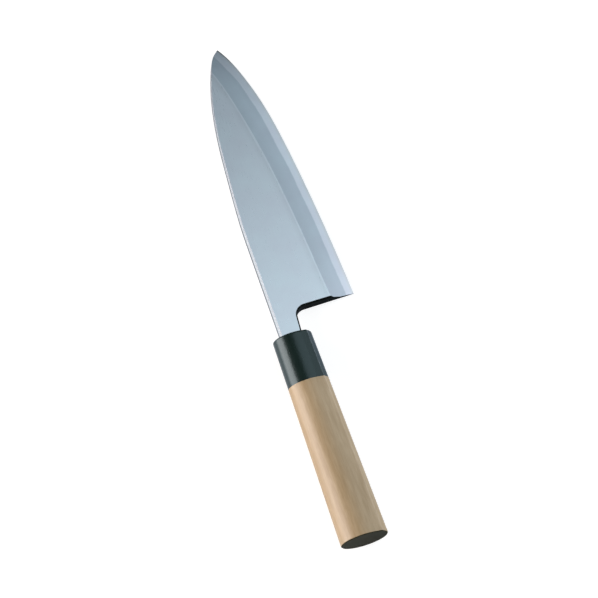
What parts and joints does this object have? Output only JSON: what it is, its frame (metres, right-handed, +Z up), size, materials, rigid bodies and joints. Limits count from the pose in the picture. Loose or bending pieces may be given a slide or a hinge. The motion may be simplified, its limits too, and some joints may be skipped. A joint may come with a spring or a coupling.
{
  "type": "deba kitchen knife",
  "caption": "Heavy single-bevel kitchen knife: laminated blade with a flat front and a ground bevel, hidden tang, black ferrule and pale wooden handle with a ridge.",
  "frame": {"origin": "on the table under the middle of the knife: halfway between the butt and the tip, and halfway between the heel's corner and the far side of the handle", "axes": "+X towards the tip, +Y from the edge to the spine, +Z up from the table, out of the bevelled front; the knife lies on its back, on its tip and the back of its ferrule"},
  "size_m": [0.3304, 0.06, 0.024],
  "materials": {
    "soft_iron": "fine satin polish, slightly hazy on the bevel",
    "hard_steel": "whetstone polish, brighter than the body",
    "horn": "polished black buffalo horn",
    "magnolia_wood": "bare, sanded fine",
    "resin": "dull black",
    "cement": "rough",
    "lacquer": "thin dark coat, satin"
  },
  "bodies": {
    "root": {"blade_body": "soft_iron", "edge_steel": "hard_steel", "ferrule": "horn", "handle": "magnolia_wood", "mouth_seal": "resin", "tang_bedding": "cement", "butt_seal": "lacquer"}
  },
  "joints": []
}
